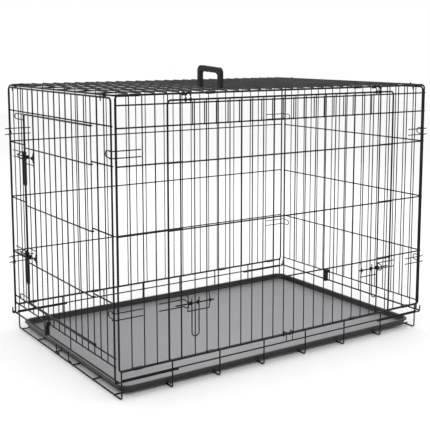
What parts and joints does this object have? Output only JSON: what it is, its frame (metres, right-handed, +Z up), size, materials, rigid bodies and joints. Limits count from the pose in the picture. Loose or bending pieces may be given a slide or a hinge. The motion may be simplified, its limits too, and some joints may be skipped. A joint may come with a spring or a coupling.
{
  "type": "folding wire dog crate",
  "caption": "Folding wire dog crate with a lift-up side door, a swinging end door, slide bolts, a tray and a carry handle.",
  "frame": {"origin": "middle of the footprint, where the base wires rest on the floor", "axes": "+X along the crate away from the end door, -Y towards the wide side door, +Z up"},
  "size_m": [1.1076, 0.7443, 0.837],
  "materials": {
    "wire": "satin",
    "sheet_clips": "satin",
    "tray": "matte",
    "moulded": "matte"
  },
  "bodies": {
    "crate": {"base_floor_grid": "wire", "base_side_front": "wire", "base_side_back": "wire", "hook_rods_front": "wire", "hook_rods_back": "wire", "front_panel_left": "wire", "front_panel_right": "wire", "front_panel_header": "wire", "front_panel_sill": "wire", "back_panel": "wire", "top_panel": "wire", "top_clips_front": "sheet_clips", "top_clips_back": "sheet_clips", "bottom_clips_front": "sheet_clips", "bottom_clips_back": "sheet_clips", "corner_locks_front": "wire", "corner_locks_back": "wire", "end_panel_hooks": "wire", "side_door_hanger_left": "wire", "side_door_hanger_right": "wire", "side_door_keepers": "wire"},
    "tray": {"floor_tray": "tray"},
    "left_end": {"left_end_front": "wire", "left_end_back": "wire", "left_end_header": "wire", "left_end_sill": "wire", "left_end_loops": "wire", "left_end_clip": "moulded", "end_door_keepers": "wire"},
    "right_end": {"right_end_panel": "wire", "right_end_loops": "wire", "right_end_clip": "moulded"},
    "side_door": {"side_door": "wire", "side_door_guides": "wire"},
    "end_door": {"end_door": "wire", "end_door_stops": "wire", "end_door_guides": "wire"},
    "side_bolt_left_body": {"side_bolt_left": "wire"},
    "side_bolt_right_body": {"side_bolt_right": "wire"},
    "end_bolt_upper_body": {"end_bolt_upper": "wire"},
    "end_bolt_lower_body": {"end_bolt_lower": "wire"},
    "side_pull_left_body": {"side_pull_left": "wire"},
    "side_pull_right_body": {"side_pull_right": "wire"},
    "end_pull_upper_body": {"end_pull_upper": "wire"},
    "end_pull_lower_body": {"end_pull_lower": "wire"},
    "door_bottom_clip_body": {"door_bottom_clip": "wire"},
    "tray_stop_body": {"tray_stop": "wire"},
    "carry_handle_body": {"carry_handle": "moulded"}
  },
  "joints": [
    {"name": "tray_slide", "type": "slide", "parent": "crate", "child": "tray", "axis": [1, 0, 0], "range_m": [0, 0.9]},
    {"name": "left_end_fold", "type": "hinge", "parent": "crate", "child": "left_end", "pos_m": [-0.5385, 0.009, 0.055], "axis": [0, 1, 0], "range_deg": [0, 90]},
    {"name": "right_end_fold", "type": "hinge", "parent": "crate", "child": "right_end", "pos_m": [0.5385, 0.009, 0.055], "axis": [0, -1, 0], "range_deg": [0, 86]},
    {"name": "side_door_swing", "type": "hinge", "parent": "crate", "child": "side_door", "pos_m": [0, -0.3555, 0.7569], "axis": [-1, 0, 0], "range_deg": [0, 180]},
    {"name": "end_door_swing", "type": "hinge", "parent": "left_end", "child": "end_door", "pos_m": [-0.5385, -0.21993, 0.4], "axis": [0, 0, -1], "range_deg": [-150, 0]},
    {"name": "side_bolt_left_slide", "type": "slide", "parent": "side_door", "child": "side_bolt_left_body", "axis": [1, 0, 0], "range_m": [0, 0.033]},
    {"name": "side_pull_left_swing", "type": "hinge", "parent": "side_bolt_left_body", "child": "side_pull_left_body", "pos_m": [-0.31888, -0.3632, 0.2273], "axis": [1, 0, 0], "range_deg": [-150, 0]},
    {"name": "side_bolt_right_slide", "type": "slide", "parent": "side_door", "child": "side_bolt_right_body", "axis": [-1, 0, 0], "range_m": [0, 0.033]},
    {"name": "side_pull_right_swing", "type": "hinge", "parent": "side_bolt_right_body", "child": "side_pull_right_body", "pos_m": [0.31888, -0.3632, 0.2273], "axis": [1, 0, 0], "range_deg": [-150, 0]},
    {"name": "end_bolt_upper_slide", "type": "slide", "parent": "end_door", "child": "end_bolt_upper_body", "axis": [0, -1, 0], "range_m": [0, 0.033]},
    {"name": "end_pull_upper_swing", "type": "hinge", "parent": "end_bolt_upper_body", "child": "end_pull_upper_body", "pos_m": [-0.5462, 0.20393, 0.5679], "axis": [0, -1, 0], "range_deg": [-150, 0]},
    {"name": "end_bolt_lower_slide", "type": "slide", "parent": "end_door", "child": "end_bolt_lower_body", "axis": [0, -1, 0], "range_m": [0, 0.033]},
    {"name": "end_pull_lower_swing", "type": "hinge", "parent": "end_bolt_lower_body", "child": "end_pull_lower_body", "pos_m": [-0.5462, 0.20393, 0.2683], "axis": [0, -1, 0], "range_deg": [-150, 0]},
    {"name": "door_bottom_clip_turn", "type": "hinge", "parent": "crate", "child": "door_bottom_clip_body", "pos_m": [0, -0.3465, 0.0775], "axis": [1, 0, 0], "range_deg": [-95, 0]},
    {"name": "tray_stop_fold", "type": "hinge", "parent": "crate", "child": "tray_stop_body", "pos_m": [-0.524, 0.009, 0.002], "axis": [0, -1, 0], "range_deg": [0, 70]},
    {"name": "carry_handle_fold", "type": "hinge", "parent": "crate", "child": "carry_handle_body", "pos_m": [-0.12853, -0.149, 0.776], "axis": [0, 1, 0], "range_deg": [-75, 75]}
  ]
}
